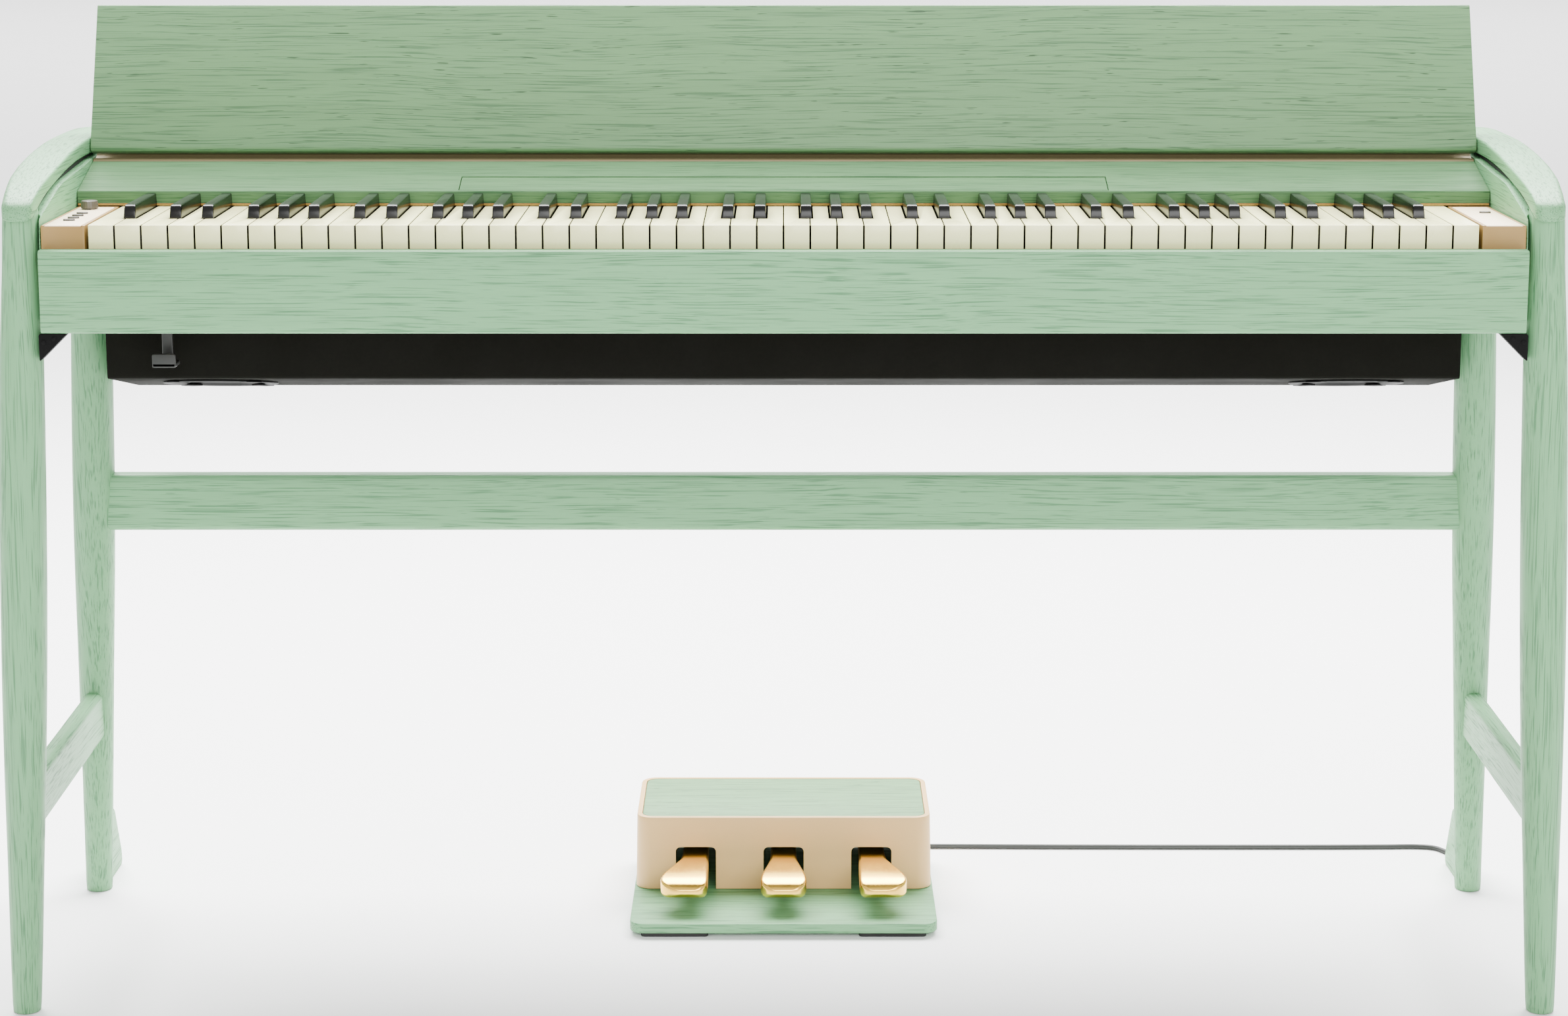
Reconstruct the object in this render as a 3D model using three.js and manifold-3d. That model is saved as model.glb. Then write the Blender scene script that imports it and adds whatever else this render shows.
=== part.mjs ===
// Digital piano on a four-legged wooden stand, with a folding lid and a separate three-pedal unit.
// Units are millimetres, +Z up. The front faces -Y and the bass end is at -X.
// Depths in the tables below are measured backwards from the plane of the white key fronts.
import * as THREE from "three";
import { mergeVertices } from "three/addons/utils/BufferGeometryUtils.js";
import Module from "manifold-3d";

const wasm = await Module();
wasm.setup();

// Overall frame
const KEY_FRONT_Y = -213.5; // puts the origin midway between the key slip and the pedal unit's cord outlet
const GAP = 0.4; // clearance left between neighbouring pieces

// Keyboard
const KEY_PITCH = 23.5;
const WHITE_KEYS = 52;
const KEY_SPAN = WHITE_KEYS * KEY_PITCH;
const KEY_TOP = 725.7;
const WHITE_BOTTOM = 704.7;
const BLACK_TOP = 737.6;
const BLACK_BOTTOM = 708;
const BLACK_WIDTH = 10.4;
const BLACK_FRONT = 51;
const MIDDLE_C = 23;
const BLACK_SHIFTS = { 0: -2.6, 1: 2.6, 3: -3.4, 4: 0, 5: 3.4 };

// Lid: the pivot of the main leaf, and the pose in which both leaves cover the keys
const LID_PIVOT = [230.2, 771];
const LID_CLOSED_ANGLE = 184.3;
const LID_TRAVEL = 116.7;
const LEAF_TRAVEL = 190.2;
const LID_HALF_WIDTH = 655.5;
const LID_INNER = -7.2;
const LID_OUTER = 4.8;
const LID_END = 142;
const LEAF_PIVOT_ALONG = 143.6;
const LEAF_PIVOT_OUT = 5;

// Pedal unit
const PEDAL_X = [-88.6, 0, 88.6];
const PEDAL_PIVOT_DEPTH = 400;
const PEDAL_PIVOT_Z = 47;

const root = new THREE.Group();

const PAINTED_OAK = { color: 0xaecbaf, roughness: 0.55, metalness: 0 };
const LID_OAK = { color: 0xa3bea3, roughness: 0.5, metalness: 0 };
const BLACK_CASE = { color: 0x22231d, roughness: 0.7, metalness: 0 };
const BLACK_METAL = { color: 0x1d1e1c, roughness: 0.4, metalness: 0.6 };
const IVORY = { color: 0xeeeede, roughness: 0.25, metalness: 0 };
const EBONY = { color: 0x121212, roughness: 0.2, metalness: 0 };
const FELT = { color: 0xcdb06e, roughness: 0.95, metalness: 0 };
const BRONZE = { color: 0x6f5138, roughness: 0.45, metalness: 0.5 };
const BRASS = { color: 0xd8a94a, roughness: 0.18, metalness: 1 };
const TAN_BLOCK = { color: 0xbea578, roughness: 0.5, metalness: 0 };
const GREY_PLASTIC = { color: 0x828078, roughness: 0.45, metalness: 0 };
const DARK_PLASTIC = { color: 0x3a3733, roughness: 0.45, metalness: 0 };
const BEIGE = { color: 0xdec8a5, roughness: 0.5, metalness: 0 };
const RUBBER = { color: 0x171717, roughness: 0.9, metalness: 0 };
const BARE_BOARD = { color: 0x8f8a76, roughness: 0.85, metalness: 0 };

function place(name, geometry, look) {
  const mesh = new THREE.Mesh(geometry, new THREE.MeshStandardMaterial(look));
  mesh.name = name;
  root.add(mesh);
  return mesh;
}

// Depth behind the key fronts to the Y of the model's frame
function depth(t) {
  return t + KEY_FRONT_Y;
}

function box(x0, x1, t0, t1, z0, z1) {
  const geometry = new THREE.BoxGeometry(x1 - x0, t1 - t0, z1 - z0);
  geometry.translate((x0 + x1) / 2, depth((t0 + t1) / 2), (z0 + z1) / 2);
  return geometry;
}

function shapeOf(points) {
  return new THREE.Shape(points.map(([a, b]) => new THREE.Vector2(a, b)));
}

// A side outline of [depth, height] points, drawn out along X
function prism(points, x0, x1) {
  const outline = points.map(([t, z]) => [depth(t), z]);
  const geometry = new THREE.ExtrudeGeometry(shapeOf(outline), { depth: x1 - x0, bevelEnabled: false });
  const turn = new THREE.Matrix4().set(0, 0, 1, x0, 1, 0, 0, 0, 0, 1, 0, 0, 0, 0, 0, 1);
  return geometry.applyMatrix4(turn);
}

// A plan outline of [x, depth] points, drawn out upwards
function slab(points, z0, z1) {
  const outline = points.map(([x, t]) => [x, depth(t)]);
  const geometry = new THREE.ExtrudeGeometry(shapeOf(outline), { depth: z1 - z0, bevelEnabled: false });
  return geometry.translate(0, 0, z0);
}

// A front outline of [x, height] points, drawn out along Y
function frontPrism(points, t0, t1) {
  const geometry = new THREE.ExtrudeGeometry(shapeOf(points), { depth: t1 - t0, bevelEnabled: false });
  const turn = new THREE.Matrix4().set(1, 0, 0, 0, 0, 0, -1, depth(t1), 0, 1, 0, 0, 0, 0, 0, 1);
  return geometry.applyMatrix4(turn);
}

// Replaces each corner of an outline by an arc
function rounded(points, radius, steps = 3) {
  const result = [];
  points.forEach((corner, index) => {
    const before = points[(index + points.length - 1) % points.length];
    const after = points[(index + 1) % points.length];
    const [ax, ay] = [before[0] - corner[0], before[1] - corner[1]];
    const [bx, by] = [after[0] - corner[0], after[1] - corner[1]];
    const [aLength, bLength] = [Math.hypot(ax, ay), Math.hypot(bx, by)];
    const reach = Math.min(radius, aLength * 0.45, bLength * 0.45);
    const start = [corner[0] + (ax / aLength) * reach, corner[1] + (ay / aLength) * reach];
    const end = [corner[0] + (bx / bLength) * reach, corner[1] + (by / bLength) * reach];
    for (let step = 0; step <= steps; step += 1) {
      const k = step / steps;
      const [p, q, r] = [(1 - k) ** 2, 2 * k * (1 - k), k ** 2];
      result.push([p * start[0] + q * corner[0] + r * end[0], p * start[1] + q * corner[1] + r * end[1]]);
    }
  });
  return result;
}

function rectangle(a0, a1, b0, b1) {
  return [[a0, b0], [a1, b0], [a1, b1], [a0, b1]];
}

// A turned piece standing at (x, t); the profile is [radius, height] from the axis back to the axis
function turned(profile, x, t, segments = 24) {
  const geometry = new THREE.LatheGeometry(profile.map(([r, z]) => new THREE.Vector2(r, z)), segments);
  geometry.rotateX(Math.PI / 2);
  return geometry.translate(x, depth(t), 0);
}

function cylinderX(radius, x0, x1, t, z, segments = 16) {
  const geometry = new THREE.CylinderGeometry(radius, radius, x1 - x0, segments);
  geometry.rotateZ(Math.PI / 2);
  return geometry.translate((x0 + x1) / 2, depth(t), z);
}

function solidOf(geometry) {
  const plain = geometry.clone();
  plain.deleteAttribute("normal");
  plain.deleteAttribute("uv");
  const merged = mergeVertices(plain, 1e-4);
  return new wasm.Manifold(new wasm.Mesh({
    numProp: 3,
    vertProperties: new Float32Array(merged.attributes.position.array),
    triVerts: new Uint32Array(merged.index.array),
  }));
}

function geometryOf(solid) {
  const mesh = solid.getMesh();
  const geometry = new THREE.BufferGeometry();
  geometry.setAttribute("position", new THREE.BufferAttribute(mesh.vertProperties, 3));
  geometry.setIndex(new THREE.BufferAttribute(mesh.triVerts, 1));
  geometry.computeVertexNormals();
  return geometry;
}

function join(first, ...others) {
  return geometryOf(others.reduce((sum, next) => sum.add(solidOf(next)), solidOf(first)));
}

function cut(first, ...others) {
  return geometryOf(others.reduce((rest, next) => rest.subtract(solidOf(next)), solidOf(first)));
}

function turnedAbout(points, [t0, z0], degrees) {
  const [c, s] = [Math.cos((degrees * Math.PI) / 180), Math.sin((degrees * Math.PI) / 180)];
  return points.map(([t, z]) => [t0 + (t - t0) * c - (z - z0) * s, z0 + (t - t0) * s + (z - z0) * c]);
}

// ---------- Stand: legs, stretchers and stabilizers ----------

const FRONT_LEG_DEPTH = 5;
const FRONT_LEG = [
  [25.6, 0], [29, 60], [33, 147], [36.3, 209], [38.7, 271], [40.4, 332], [41.3, 420],
  [40.5, 514], [38.8, 590], [37.6, 620], [36, 644], [34.4, 668], [33, 691], [32, 748],
];
const REAR_LEG = [
  [26.5, 0], [29, 74], [31.4, 140], [36.4, 270], [39.4, 340], [41.2, 430], [40.6, 530], [38.6, 631.4],
];
const REAR_LEG_TOP_DEPTH = 300;
const REAR_LEG_TOP = 600;
const REAR_LEG_LEAN = 45 / REAR_LEG_TOP;

// The legs splay sideways: distance from the middle at the floor, and its fall for each mm of height
const FRONT_SPLAY = { foot: 694.5, slope: 0.0335 };
const REAR_SPLAY = { foot: 701.8, slope: 0.0401 };

function legX(splay, z) {
  return splay.foot - splay.slope * z;
}

function legProfile(diameters, grow) {
  const [foot, ...rest] = diameters;
  const top = rest[rest.length - 1];
  return [
    [0, -grow], [foot[0] / 2 - 1.5 + grow, -grow], [foot[0] / 2 + grow, 1.5],
    ...rest.map(([d, z]) => [d / 2 + grow, z]),
    [0, top[1]],
  ];
}

function leaningLeg(profile, side, splay, footDepth, lean) {
  const geometry = turned(profile, 0, 0, 20);
  const shear = new THREE.Matrix4().set(
    1, 0, -side * splay.slope, side * splay.foot,
    0, 1, -lean, footDepth,
    0, 0, 1, 0,
    0, 0, 0, 1,
  );
  return geometry.applyMatrix4(shear);
}

function frontLeg(side, grow = 0) {
  return leaningLeg(legProfile(FRONT_LEG, grow), side, FRONT_SPLAY, FRONT_LEG_DEPTH, 0);
}

function rearLeg(side, grow = 0) {
  return leaningLeg(legProfile(REAR_LEG, grow), side, REAR_SPLAY, rearLegDepth(0), REAR_LEG_LEAN);
}

function rearLegDepth(z) {
  return REAR_LEG_TOP_DEPTH + REAR_LEG_LEAN * (REAR_LEG_TOP - z);
}

// ---------- Body outlines, [depth, height] ----------

const ARM_TOP = [
  [402, 775], [387, 778], [323, 782], [259, 782], [203, 780.5], [148, 775.5], [117, 771.5],
  [56, 762.5], [26, 757], [0, 750.5], [-12, 745.5], [-16, 741.5],
];
const ARM_UNDER = [
  [-16, 730.5], [0, 735.5], [26, 743.5], [54, 750], [115, 759.6], [162, 764.6], [204, 766.6],
  [259, 767], [323, 767], [387, 764], [402, 763],
];
const LINING_TOP = [
  [383, 760], [300, 763], [233, 763], [187, 759.6], [141, 756], [92, 752.2], [47, 742], [16, 734],
  [4, 731], [2.2, 729],
];
const FALLBOARD_ANGLE = (16.3 * Math.PI) / 180;
const FALLBOARD_NOSE = [150, 739.4];

// A point on the fallboard's slope: distance along it from the nose, and height above it
function onSlope(along, above) {
  const [c, s] = [Math.cos(FALLBOARD_ANGLE), Math.sin(FALLBOARD_ANGLE)];
  return [FALLBOARD_NOSE[0] + along * c - above * s, FALLBOARD_NOSE[1] + along * s + above * c];
}

// A point on the closed lid: distance from its pivot towards the player, and height above the pivot
function onClosedLid(along, out) {
  const angle = (LID_CLOSED_ANGLE * Math.PI) / 180;
  const [c, s] = [Math.cos(angle), Math.sin(angle)];
  return [LID_PIVOT[0] + along * c + out * s, LID_PIVOT[1] + along * s - out * c];
}

const STABILIZER_X = 701;
const ARM_PLAN = [
  [656.2, -16], [682.5, -16], [684.5, 0], [688, 24], [692.5, 60], [695, 100], [695.5, 150],
  [695.5, 402], [656.2, 402],
];

for (const [side, name] of [[-1, "left"], [1, "right"]]) {
  const underArm = ARM_UNDER.map(([t, z]) => [t, z - GAP]);
  const aboveArm = prism(
    [[-40, 725], ...underArm, [402, 800], [-40, 800]],
    side > 0 ? 600 : -740,
    side > 0 ? 740 : -600,
  );
  // The closed front leaf comes down beside the leg's top, which is trimmed flush with the armrest
  const besideLeaf = box(600, 656.2, -40, 60, 706, 800);
  besideLeaf.translate(side > 0 ? 0 : -1256.2, 0, 0);
  place(`leg_front_${name}`, cut(frontLeg(side), aboveArm, besideLeaf), PAINTED_OAK);
  place(`leg_rear_${name}`, rearLeg(side), PAINTED_OAK);

  const [stretcherFront, stretcherRear] = [legX(FRONT_SPLAY, 191), legX(REAR_SPLAY, 191)];
  const stretcherRun = rearLegDepth(190) - FRONT_LEG_DEPTH;
  const stretcher = frontPrism(rounded(rectangle(-9, 9, 166, 216), 5), 0, stretcherRun);
  const toRearLeg = (side * (stretcherRear - stretcherFront)) / stretcherRun;
  stretcher.applyMatrix4(new THREE.Matrix4().set(
    1, toRearLeg, 0, side * stretcherFront - toRearLeg * depth(0),
    0, 1, 0, FRONT_LEG_DEPTH,
    0, 0, 1, 0,
    0, 0, 0, 1,
  ));
  place(`side_stretcher_${name}`, cut(stretcher, frontLeg(side, GAP), rearLeg(side, GAP)), PAINTED_OAK);

  const stabilizer = prism(
    rounded([[rearLegDepth(30), 0], [425, 0], [425, 13], [397, 71], [rearLegDepth(60), 71]], 5),
    side * STABILIZER_X - 6,
    side * STABILIZER_X + 6,
  );
  place(`stabilizer_${name}`, cut(stabilizer, rearLeg(side, GAP)), PAINTED_OAK);

  // The armrest: a curved cap whose front corners are rounded in plan, with a blind hole for the lid pin
  const armPlan = slab(rounded(ARM_PLAN.map(([x, t]) => [side * x, t]), 9), 720, 800);
  const armCurve = prism([...ARM_TOP, ...ARM_UNDER], side > 0 ? 650 : -700, side > 0 ? 700 : -650);
  const [holeIn, holeOut] = side > 0 ? [650, 663] : [-663, -650];
  const arm = solidOf(armCurve).intersect(solidOf(armPlan));
  const pinHole = cylinderX(2.5, holeIn, holeOut, LID_PIVOT[0], LID_PIVOT[1]);
  place(`armrest_${name}`, geometryOf(arm.subtract(solidOf(pinHole))), PAINTED_OAK);

  // The side: a thick board below the armrest, with a lower lining that the closed lid rests on
  const board = prism([[26.5, 632], ...underArm.filter(([t]) => t > 30), [402, 632]], 0, 25.5);
  const lining = prism([[383, 632], ...LINING_TOP, [2.2, 642]], 0, 9.2);
  const frontCorner = box(8.4, 40, -30, 27, 560, 800);
  board.translate(side > 0 ? 662 : -687.5, 0, 0);
  lining.translate(side > 0 ? 653 : -662.2, 0, 0);
  frontCorner.translate(side > 0 ? 650 : -698.4, 0, 0);
  const panel = cut(join(board, lining), frontCorner, frontLeg(side, GAP));
  place(`side_panel_${name}`, panel, PAINTED_OAK);

  const bracket = [[side * 654, 631.5], [side * 629, 631.5], [side * 654, 606.5]];
  place(`corner_bracket_${name}`, frontPrism(rounded(bracket, 2), -14, 2), BLACK_METAL);
}

const rearStretcherOutline = rounded(
  rectangle(rearLegDepth(412) - 11, rearLegDepth(412) + 11, 384, 441), 6,
);
place(
  "rear_stretcher",
  cut(
    prism(rearStretcherOutline, -legX(REAR_SPLAY, 412), legX(REAR_SPLAY, 412)),
    rearLeg(-1, GAP),
    rearLeg(1, GAP),
  ),
  PAINTED_OAK,
);

// ---------- Body ----------

place("key_slip", prism(rounded(rectangle(-18, -2.6, 632, 705.4), 2.5), -651.2, 651.2), PAINTED_OAK);

const keybed = join(
  box(-652.4, 652.4, -2.2, 385, 640, 664),
  box(-608, 608, 10, 26, 663, 690),
  box(-608, 608, 212, 218, 663, 704),
);
const plugSocket = turned([[0, 620], [4.4, 620], [4.4, 656], [0, 656]], 612, 362, 16);
place("keybed", cut(keybed, plugSocket), BARE_BOARD);

const flapStart = 2.6;
const flapAxis = 33;
const flapRecess = prism(
  [
    onSlope(flapStart - GAP, -4.6), onSlope(flapAxis + 2.5, -4.6),
    onSlope(flapAxis + 2.5, 6), onSlope(flapStart - GAP, 6),
  ],
  -300.6,
  300.6,
);
const [flapT, flapZ] = onSlope(flapAxis, -2.1);
const fallboard = prism(
  [[150, 728.3], FALLBOARD_NOSE, [220.6, 760], [220.6, 750.5], [163, 728.3]],
  -652.4,
  652.4,
);
place("fallboard", cut(fallboard, flapRecess, cylinderX(1.4, -305, 305, flapT, flapZ, 12)), PAINTED_OAK);

const flapOutline = [onSlope(flapStart, 0), onSlope(flapStart, -4)];
for (let step = 0; step <= 6; step += 1) {
  const angle = -Math.PI / 2 + (Math.PI * step) / 6;
  flapOutline.push(onSlope(flapAxis + 2 * Math.cos(angle), -2.1 + 2 * Math.sin(angle)));
}
place(
  "book_stop",
  join(prism(flapOutline, -300, 300), cylinderX(1, -304.4, 304.4, flapT, flapZ, 12)),
  LID_OAK,
);

const HINGE_RAIL = [
  [221, 752], [244, 752], [244, 771.4], [240, 771.4], [239.6, 768.4], [235.8, 763.4], [230.2, 761.6],
  [224.6, 762.2], [221, 760.8],
];
place("lid_hinge_rail", prism(HINGE_RAIL, -652.4, 652.4), BRONZE);
place("rear_top_board", box(-652.4, 652.4, 244.4, 399, 757, 771.4), PAINTED_OAK);
const powerInlet = box(-424, -410, 380, 402, 606, 620);
place("back_panel", cut(box(-652.4, 652.4, 385.6, 399, 560, 756.6), powerInlet), BARE_BOARD);

// Speaker cabinet: an open-topped tray with a sloping floor that carries two loudspeakers
const SPEAKER_X = 545;
const FLOOR_SLOPE = Math.atan2(30, 138);
const tray = prism([[190, 557], [332, 526], [340, 526], [340, 639.6], [190, 639.6]], -640, 640);
const hollow = prism([[198, 565.5], [332, 536], [332, 660], [198, 660]], -632, 632);
const speakerHoles = [-SPEAKER_X, SPEAKER_X].map((x) => {
  const hole = new THREE.CylinderGeometry(47, 47, 60, 32).rotateX(Math.PI / 2 - FLOOR_SLOPE);
  return hole.translate(x, depth(259), 542);
});
const jackWindow = box(-424, -308, 185, 205, 611, 639.6 + GAP);
place("speaker_cabinet", cut(tray, hollow, ...speakerHoles, jackWindow), BLACK_CASE);

const jackHoles = [-392, -366].map((x) => {
  return new THREE.CylinderGeometry(3.4, 3.4, 30, 16).translate(x, depth(194), 625);
});
const usbHole = box(-340, -327, 180, 210, 619, 631);
place("jack_panel", cut(box(-423.5, -308.5, 193, 197.5, 611.4, 639.5), ...jackHoles, usbHole), DARK_PLASTIC);

for (const [side, name] of [[-1, "left"], [1, "right"]]) {
  const profile = [
    [0, -6], [46, -6], [46, 0.4], [54, 0.4], [55, 0.9], [55, 1.5], [52, 2], [44, 1], [12, -2], [0, -1],
  ];
  const cone = new THREE.LatheGeometry(profile.map(([r, z]) => new THREE.Vector2(r, -z)).reverse(), 28);
  const tabs = [0, 1, 2, 3].map((corner) => {
    const tab = new THREE.BoxGeometry(16, 2.6, 16).translate(50, -2, 0);
    return tab.rotateY(Math.PI / 4 + (corner * Math.PI) / 2);
  });
  const speaker = join(cone, ...tabs);
  speaker.rotateX(Math.PI / 2 - FLOOR_SLOPE);
  speaker.translate(side * SPEAKER_X, depth(259), 541.6);
  place(`speaker_${name}`, speaker, BLACK_METAL);
}

place(
  "headphone_hook",
  join(
    box(-583, -573, 168, 173, 574, 639.6),
    box(-589, -567, 150, 173, 574, 578),
    box(-589, -567, 150, 153, 574, 587),
  ),
  GREY_PLASTIC,
);

// ---------- Lid: a main leaf and a front leaf that folds onto its back ----------

const leafPivot = onClosedLid(LEAF_PIVOT_ALONG, LEAF_PIVOT_OUT);
const openLid = (points) => turnedAbout(points, LID_PIVOT, -LID_TRAVEL);
const mainLeaf = rounded(
  [
    onClosedLid(-4, LID_INNER), onClosedLid(-4, LID_OUTER),
    onClosedLid(LID_END, LID_OUTER), onClosedLid(LID_END, LID_INNER),
  ],
  2.4,
);
place(
  "lid_panel",
  join(
    prism(openLid(mainLeaf), -LID_HALF_WIDTH, LID_HALF_WIDTH),
    cylinderX(1.9, -662, 662, LID_PIVOT[0], LID_PIVOT[1], 12),
  ),
  LID_OAK,
);
const [openLeafPivot] = openLid([leafPivot]);
place("leaf_hinge", cylinderX(1.2, -640, 640, openLeafPivot[0], openLeafPivot[1], 10), BRONZE);

// The front leaf as it lies over the keys; its nose drops in front of the white keys
const LEAF_UNDER = [[83.2, 753.1], [1.5, 732], [-1.9, 729], [-2.2, 708]];
const LEAF_OVER = [[-16.6, 708], [-16.6, 733], [-12, 738.5], [85, 764.6]];
const frontLeaf = turnedAbout(rounded([...LEAF_UNDER, ...LEAF_OVER], 2), leafPivot, -LEAF_TRAVEL);
place("lid_front_leaf", prism(openLid(frontLeaf), -LID_HALF_WIDTH, LID_HALF_WIDTH), LID_OAK);

// ---------- Keys ----------

function letter(index) {
  return (index + 5) % 7;
}

function boundary(index) {
  return -KEY_SPAN / 2 + (index + 1) * KEY_PITCH;
}

// The black key between white key `index` and the next one, or undefined
function blackCentre(index) {
  const shift = BLACK_SHIFTS[letter(index)];
  return shift === undefined || index < 0 || index > 50 ? undefined : boundary(index) + shift;
}

function whiteKey(index, rear) {
  const left = boundary(index - 1) + 0.5;
  const right = boundary(index) - 0.5;
  const leftBlack = blackCentre(index - 1);
  const rightBlack = blackCentre(index);
  const half = BLACK_WIDTH / 2 + 1.3;
  const neckLeft = leftBlack === undefined ? left : Math.max(left, leftBlack + half);
  const neckRight = rightBlack === undefined ? right : Math.min(right, rightBlack - half);
  const outline = [[left, 0], [right, 0]];
  if (neckRight < right) {
    outline.push([right, BLACK_FRONT - 1.4], [neckRight, BLACK_FRONT - 1.4]);
  }
  outline.push([neckRight, rear], [neckLeft, rear]);
  if (neckLeft > left) {
    outline.push([neckLeft, BLACK_FRONT - 1.4], [left, BLACK_FRONT - 1.4]);
  }
  return slab(outline, WHITE_BOTTOM, KEY_TOP);
}

function blackKey(index, rear) {
  const centre = blackCentre(index);
  const outline = [
    [BLACK_FRONT, BLACK_BOTTOM], [rear, BLACK_BOTTOM], [rear, KEY_TOP - 0.5], [148.4, KEY_TOP - 0.5],
    [148.4, BLACK_TOP], [BLACK_FRONT + 5, BLACK_TOP], [BLACK_FRONT, KEY_TOP + 2],
  ];
  return prism(outline, centre - BLACK_WIDTH / 2, centre + BLACK_WIDTH / 2);
}

function bank(name, from, to) {
  const whites = [];
  const blacks = [];
  for (let index = from; index <= to; index += 1) {
    whites.push(whiteKey(index, 240));
    if (index < to && blackCentre(index) !== undefined) {
      blacks.push(blackKey(index, 254));
    }
  }
  const left = boundary(from - 1) + 2;
  const right = boundary(to) - 2;
  const whiteRail = box(left, right, 226, 240, 697, 706.5);
  const blackRail = box(left, right, 242, 254, BLACK_BOTTOM, KEY_TOP - 0.5);
  place(`white_keys_${name}`, join(whiteRail, ...whites), IVORY);
  place(`black_keys_${name}`, join(blackRail, ...blacks), EBONY);
}

bank("bass", 0, MIDDLE_C - 1);
bank("treble", MIDDLE_C + 3, WHITE_KEYS - 1);
place("key_c4", whiteKey(MIDDLE_C, 222), IVORY);
place("key_d4", whiteKey(MIDDLE_C + 1, 222), IVORY);
place("key_e4", whiteKey(MIDDLE_C + 2, 222), IVORY);
place("key_c_sharp4", blackKey(MIDDLE_C, 222), EBONY);
place("key_d_sharp4", blackKey(MIDDLE_C + 1, 222), EBONY);
place("key_felt", box(-KEY_SPAN / 2, KEY_SPAN / 2, 149.2, 158, 726, 727.9), FELT);

// ---------- Control blocks beside the keys ----------

const CONTROL_X = 635;
const BUTTON_DEPTHS = [37, 54.7, 72.4, 90];
const KNOB = [-636.7, 128.5];

function button(x, t, grow) {
  const [halfWidth, halfDepth] = [5.2 + grow, 2.2 + grow];
  const [bottom, top] = [KEY_TOP - 6 - grow * 3, KEY_TOP + 1.2 + grow];
  return box(x - halfWidth, x + halfWidth, t - halfDepth, t + halfDepth, bottom, top);
}

const leftBlock = rounded(rectangle(-651.8, -613.4, 664.4, KEY_TOP - 0.2), 1.5);
const rightBlock = leftBlock.map(([x, z]) => [-x, z]);
const knobHole = turned([[0, 715], [2.6, 715], [2.6, 740], [0, 740]], ...KNOB, 12);
place(
  "control_block_left",
  cut(frontPrism(leftBlock, 0, 149), knobHole, ...BUTTON_DEPTHS.map((t) => button(-CONTROL_X, t, 0.35))),
  TAN_BLOCK,
);
place(
  "control_block_right",
  cut(frontPrism(rightBlock, 0, 149), button(CONTROL_X + 1.5, 96, 0.35)),
  TAN_BLOCK,
);
BUTTON_DEPTHS.forEach((t, index) => {
  place(`function_button_${index + 1}`, button(-CONTROL_X, t, 0), DARK_PLASTIC);
});
place("power_button", button(CONTROL_X + 1.5, 96, 0), GREY_PLASTIC);
place(
  "volume_knob",
  turned(
    [[0, 717], [2, 717], [2, 726], [7.8, 726], [7.8, 732.2], [7, 733.2], [0, 733.2]], ...KNOB, 32,
  ),
  GREY_PLASTIC,
);

// ---------- Pedal unit ----------

place("pedal_base", slab(rounded(rectangle(-151, 151, 197.5, 436), 10, 4), 4.3, 14), PAINTED_OAK);
for (const [side, name] of [[-1, "left"], [1, "right"]]) {
  const strip = rounded(rectangle(side * 107 - 33, side * 107 + 33, 200, 432), 5);
  place(`pedal_foot_${name}`, slab(strip, 0, 4), RUBBER);
}
const housing = slab(rounded(rectangle(-149, 149, 301.5, 440), 12, 4), 14.4, 89.2);
const housingHollow = box(-142, 142, 308, 433, 10, 82);
const topPocket = slab(rounded(rectangle(-143, 143, 306.5, 435.5), 9, 3), 86, 95);
const pedalSlots = PEDAL_X.map((x) => {
  const outline = [
    [x - 20.3, 10], [x + 20.3, 10], [x + 20.3, 54], [x + 16, 58.3], [x - 16, 58.3], [x - 20.3, 54],
  ];
  return frontPrism(outline, 296, 320);
});
const cordHole = new THREE.CylinderGeometry(4.4, 4.4, 20, 16).translate(60, depth(436), 24);
place("pedal_housing", cut(housing, housingHollow, topPocket, cordHole, ...pedalSlots), BEIGE);
place("pedal_top_plate", slab(rounded(rectangle(-142.5, 142.5, 307, 435), 9, 3), 86.4, 89), LID_OAK);

// Each pedal is a bar in side view, cut to its plan; the outer two widen towards the outside only
const PEDAL_SIDE = [
  [409, 42], [409, 52], [300, 52.5], [262, 51.2], [240, 48.6], [228, 45], [222.8, 40.5], [223, 34.5],
  [228, 31], [250, 34.5], [266, 39.5], [300, 42],
];
// [depth, reach to each side on the centre pedal, inner reach and outer reach on an outer pedal]
const PEDAL_EDGE = [
  [409, 13, 13, 13], [300, 13, 13, 13.5], [272, 15.8, 13.5, 19.5], [248, 21.5, 13.5, 30.6],
  [236, 22.6, 13, 33.2], [228, 19.5, 10, 29.5], [222.4, 11, 3, 18],
];
PEDAL_X.forEach((x, index) => {
  const toLeft = [3, 1, 2][index];
  const toRight = [2, 1, 3][index];
  const plan = [
    ...PEDAL_EDGE.map((row) => [x - row[toLeft], row[0]]),
    ...PEDAL_EDGE.map((row) => [x + row[toRight], row[0]]).reverse(),
  ];
  const bar = solidOf(prism(PEDAL_SIDE, x - 40, x + 40)).intersect(solidOf(slab(plan, 0, 90)));
  const axle = solidOf(cylinderX(4, x - 16, x + 16, PEDAL_PIVOT_DEPTH, PEDAL_PIVOT_Z));
  place(`pedal_${["left", "centre", "right"][index]}`, geometryOf(bar.add(axle)), BRASS);
});

// ---------- Cord from the pedal unit to the keyboard ----------

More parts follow.
